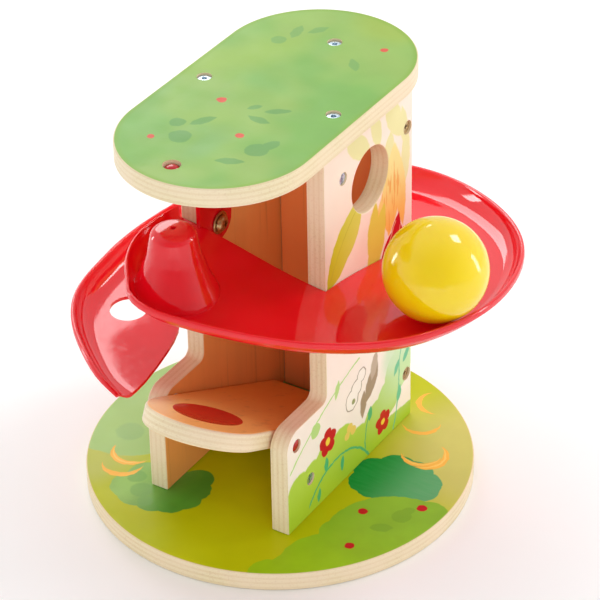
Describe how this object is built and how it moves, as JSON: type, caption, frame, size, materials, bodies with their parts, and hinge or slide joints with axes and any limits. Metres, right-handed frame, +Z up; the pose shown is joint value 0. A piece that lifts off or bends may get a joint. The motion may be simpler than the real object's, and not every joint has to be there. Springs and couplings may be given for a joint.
{
  "type": "wooden press-and-roll ball run",
  "caption": "Toddler ball run: plywood tower on a round base, see-saw lever that throws a ball up to a red spiral chute, stadium-shaped roof.",
  "frame": {"origin": "centre of the round base's underside", "axes": "+Z up, -Y towards the front where the lever's round end is, +X towards the side panel with the window"},
  "size_m": [0.2623, 0.2683, 0.2663],
  "materials": {
    "base_print": "printed and lacquered plywood, natural edge",
    "side_print": "plywood with a printed outer face, clear lacquer",
    "roof_print": "printed and lacquered plywood, natural edge",
    "plywood": "clear lacquered plywood",
    "lever_wood": "clear lacquered plywood with a glossy red painted dish",
    "red_plastic": "polished injection moulding",
    "red_cap": "gloss",
    "yellow_plastic": "polished hollow ball",
    "nylon": "natural nylon",
    "zinc_steel": "bright zinc plate",
    "yellow_zinc": "yellow zinc plate"
  },
  "bodies": {
    "tower": {"base_disc": "base_print", "right_side_panel": "side_print", "left_side_panel": "side_print", "back_panel": "plywood", "roof_panel": "roof_print", "spiral_chute": "red_plastic", "lever_axle": "zinc_steel", "axle_cap_right": "red_cap", "axle_cap_left": "red_cap", "lever_washer_right": "nylon", "lever_washer_left": "nylon", "chute_bolt": "yellow_zinc", "chute_washer": "yellow_zinc", "chute_tee_nut": "zinc_steel", "chute_screw_rear_left": "zinc_steel", "chute_screw_rear_right": "zinc_steel", "chute_screw_side": "zinc_steel", "roof_plug": "red_cap", "roof_bolt_right": "zinc_steel", "roof_bolt_left": "zinc_steel", "roof_bolt_back": "zinc_steel", "roof_nut_right": "zinc_steel", "roof_nut_left": "zinc_steel", "roof_nut_back": "zinc_steel", "base_bolt_right": "zinc_steel", "base_bolt_left": "zinc_steel", "base_bolt_back": "zinc_steel", "base_nut_right": "zinc_steel", "base_nut_left": "zinc_steel", "base_nut_back": "zinc_steel", "panel_screw_right_low": "yellow_zinc", "panel_screw_right_high": "yellow_zinc", "panel_screw_left_low": "yellow_zinc", "panel_screw_left_high": "yellow_zinc"},
    "press_lever": {"press_lever": "lever_wood"},
    "ball": {"ball": "yellow_plastic"}
  },
  "joints": [
    {"name": "lever_hinge", "type": "hinge", "parent": "tower", "child": "press_lever", "pos_m": [0, -0.058, 0.072], "axis": [1, 0, 0], "range_deg": [0, 50]},
    {"name": "ball_lift", "type": "slide", "parent": "tower", "child": "ball", "axis": [0, 0, 1], "range_m": [0, 0.15]}
  ]
}
